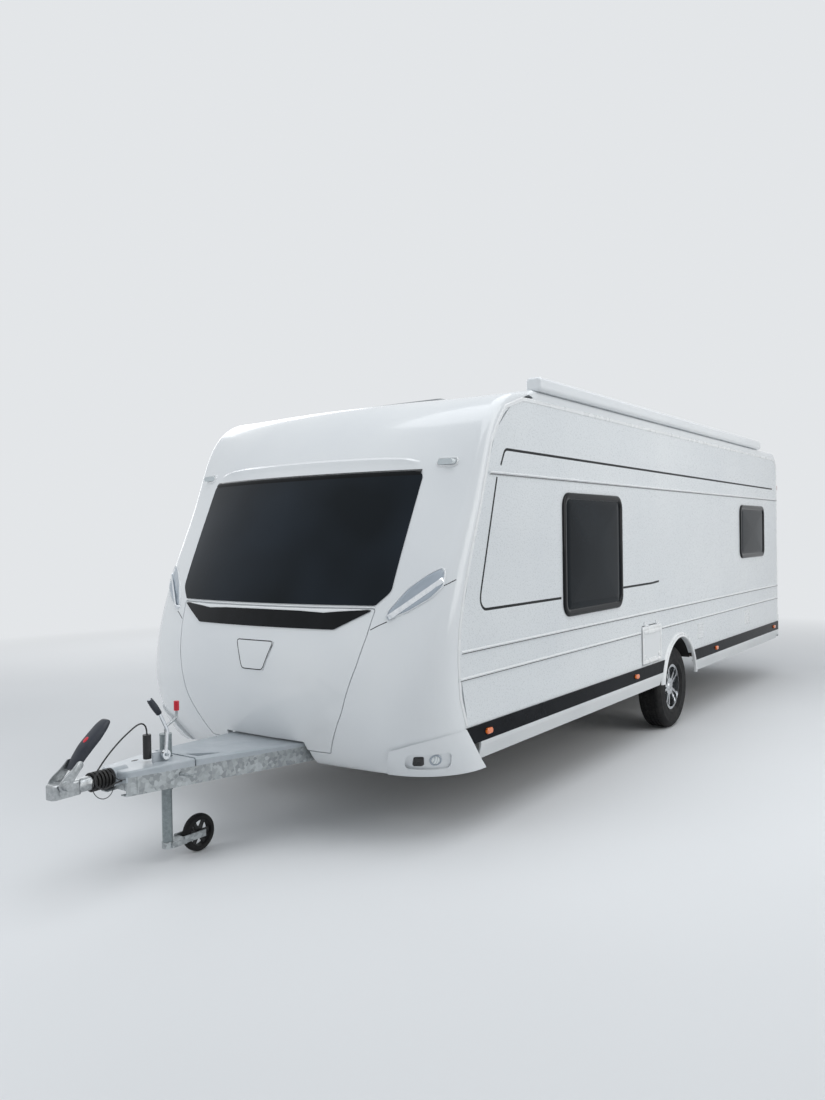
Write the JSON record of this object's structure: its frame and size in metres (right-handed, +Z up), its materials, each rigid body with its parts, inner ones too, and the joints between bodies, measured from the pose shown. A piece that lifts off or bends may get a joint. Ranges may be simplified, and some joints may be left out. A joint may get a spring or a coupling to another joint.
{
  "type": "travel caravan",
  "caption": "Travel caravan on one axle, with a bowed front, tinted windows, drawbar with coupling, jockey wheel, opening door, gas locker lid, rooflights and folding corner steadies.",
  "frame": {"origin": "on the ground under the middle of the outline, halfway between coupling nose and rear bumper", "axes": "+X forward to the coupling, +Y to the vehicle's left, +Z up; parked on the jockey wheel"},
  "size_m": [8.7168, 2.374, 2.648],
  "materials": {
    "moulded_white": "gloss",
    "wall_panel": "satin",
    "floor_board": "matt",
    "tinted_pane": "gloss",
    "roof_pane": "gloss",
    "black_trim": "satin",
    "grey_skirt": "satin",
    "lamp_lens": "gloss",
    "clear_lens": "gloss",
    "red_lens": "gloss",
    "bright_metal": "polished",
    "galvanised": "galvanised",
    "coupling_metal": "satin",
    "lever_plastic": "satin",
    "tyre_rubber": "matt",
    "wheel_rubber": "matt",
    "alloy": "satin"
  },
  "bodies": {
    "caravan": {"front_shell": "moulded_white", "front_window": "tinted_pane", "rear_shell": "moulded_white", "rear_window": "tinted_pane", "rear_bumper": "moulded_white", "rear_lamps": "red_lens", "roof_panel": "moulded_white", "rooflight_frames": "moulded_white", "side_wall_left": "wall_panel", "side_wall_right": "wall_panel", "side_windows": "tinted_pane", "floor_panel": "floor_board", "gas_locker_tub": "moulded_white", "wheel_boxes": "moulded_white", "side_bands": "black_trim", "side_skirts": "grey_skirt", "arch_trims": "moulded_white", "side_rails": "moulded_white", "front_bumper_corners": "moulded_white", "wall_vents": "moulded_white", "side_lamps": "lamp_lens", "front_lamps": "clear_lens", "grab_handles": "bright_metal", "awning_cassette": "moulded_white", "chassis_frame": "galvanised", "axle_assembly": "galvanised", "overrun_housing": "galvanised", "overrun_bellows": "black_trim", "coupling_head": "coupling_metal", "drawbar_cover": "grey_skirt", "jockey_outer_tube": "galvanised", "jockey_clamp": "galvanised", "jockey_crank": "galvanised", "jockey_knob": "red_lens", "parked_plug": "black_trim", "connection_cable": "black_trim", "breakaway_cable": "black_trim", "panel_hinges": "moulded_white"},
    "left_wheel": {"tyre_left": "tyre_rubber", "rim_left": "alloy"},
    "right_wheel": {"tyre_right": "tyre_rubber", "rim_right": "alloy"},
    "locker_lid": {"gas_locker_lid": "moulded_white", "locker_strip": "black_trim"},
    "door": {"entrance_door": "moulded_white", "door_window": "tinted_pane"},
    "hatch": {"service_hatch": "moulded_white"},
    "front_rooflight": {"rooflight_lid_front": "roof_pane"},
    "middle_rooflight": {"rooflight_lid_middle": "roof_pane"},
    "rear_rooflight": {"rooflight_lid_rear": "roof_pane"},
    "front_left_steady": {"steady_front_left": "galvanised"},
    "front_right_steady": {"steady_front_right": "galvanised"},
    "rear_left_steady": {"steady_rear_left": "galvanised"},
    "rear_right_steady": {"steady_rear_right": "galvanised"},
    "handbrake": {"handbrake_lever": "bright_metal"},
    "stabiliser": {"stabiliser_handle": "lever_plastic"},
    "jockey_stem": {"jockey_inner_tube": "galvanised"},
    "jockey_caster": {"jockey_fork": "galvanised"},
    "jockey_roller": {"jockey_wheel": "wheel_rubber"}
  },
  "joints": [
    {"name": "left_wheel_spin", "type": "hinge", "parent": "caravan", "child": "left_wheel", "pos_m": [-0.8215, 1.0105, 0.347], "axis": [0, 1, 0], "continuous": true},
    {"name": "right_wheel_spin", "type": "hinge", "parent": "caravan", "child": "right_wheel", "pos_m": [-0.8215, -1.0105, 0.347], "axis": [0, 1, 0], "continuous": true},
    {"name": "locker_lid_hinge", "type": "hinge", "parent": "caravan", "child": "locker_lid", "pos_m": [2.9685, 0, 1.33], "axis": [0, -1, 0], "range_deg": [0, 70]},
    {"name": "entrance_door_hinge", "type": "hinge", "parent": "caravan", "child": "door", "pos_m": [0.7115, -1.168, 1.493], "axis": [0, 0, 1], "range_deg": [0, 105]},
    {"name": "service_hatch_hinge", "type": "hinge", "parent": "caravan", "child": "hatch", "pos_m": [-0.1665, 1.168, 0.943], "axis": [1, 0, 0], "range_deg": [0, 110]},
    {"name": "front_rooflight_hinge", "type": "hinge", "parent": "caravan", "child": "front_rooflight", "pos_m": [0.5815, 0, 2.6263], "axis": [0, -1, 0], "range_deg": [0, 55]},
    {"name": "middle_rooflight_hinge", "type": "hinge", "parent": "caravan", "child": "middle_rooflight", "pos_m": [-1.3585, 0, 2.6263], "axis": [0, -1, 0], "range_deg": [0, 55]},
    {"name": "rear_rooflight_hinge", "type": "hinge", "parent": "caravan", "child": "rear_rooflight", "pos_m": [-3.4085, 0, 2.6263], "axis": [0, -1, 0], "range_deg": [0, 55]},
    {"name": "handbrake_pivot", "type": "hinge", "parent": "caravan", "child": "handbrake", "pos_m": [3.7535, 0.08, 0.585], "axis": [0, 1, 0], "range_deg": [-8, 60]},
    {"name": "stabiliser_pivot", "type": "hinge", "parent": "caravan", "child": "stabiliser", "pos_m": [4.3035, 0, 0.548], "axis": [0, -1, 0], "range_deg": [0, 24]},
    {"name": "jockey_height", "type": "slide", "parent": "caravan", "child": "jockey_stem", "axis": [0, 0, 1], "range_m": [-0.04, 0.2]},
    {"name": "jockey_swivel", "type": "hinge", "parent": "jockey_stem", "child": "jockey_caster", "pos_m": [3.6885, 0, 0.093], "axis": [0, 0, 1], "continuous": true},
    {"name": "jockey_wheel_spin", "type": "hinge", "parent": "jockey_caster", "child": "jockey_roller", "pos_m": [3.4835, 0, 0.1], "axis": [0, 1, 0], "continuous": true},
    {"name": "front_left_steady_pivot", "type": "hinge", "parent": "caravan", "child": "front_left_steady", "pos_m": [2.0785, 0.76, 0.488], "axis": [0, -1, 0], "range_deg": [0, 75]},
    {"name": "front_right_steady_pivot", "type": "hinge", "parent": "caravan", "child": "front_right_steady", "pos_m": [2.0785, -0.76, 0.488], "axis": [0, -1, 0], "range_deg": [0, 75]},
    {"name": "rear_left_steady_pivot", "type": "hinge", "parent": "caravan", "child": "rear_left_steady", "pos_m": [-3.7215, 0.76, 0.488], "axis": [0, 1, 0], "range_deg": [0, 75]},
    {"name": "rear_right_steady_pivot", "type": "hinge", "parent": "caravan", "child": "rear_right_steady", "pos_m": [-3.7215, -0.76, 0.488], "axis": [0, 1, 0], "range_deg": [0, 75]}
  ]
}
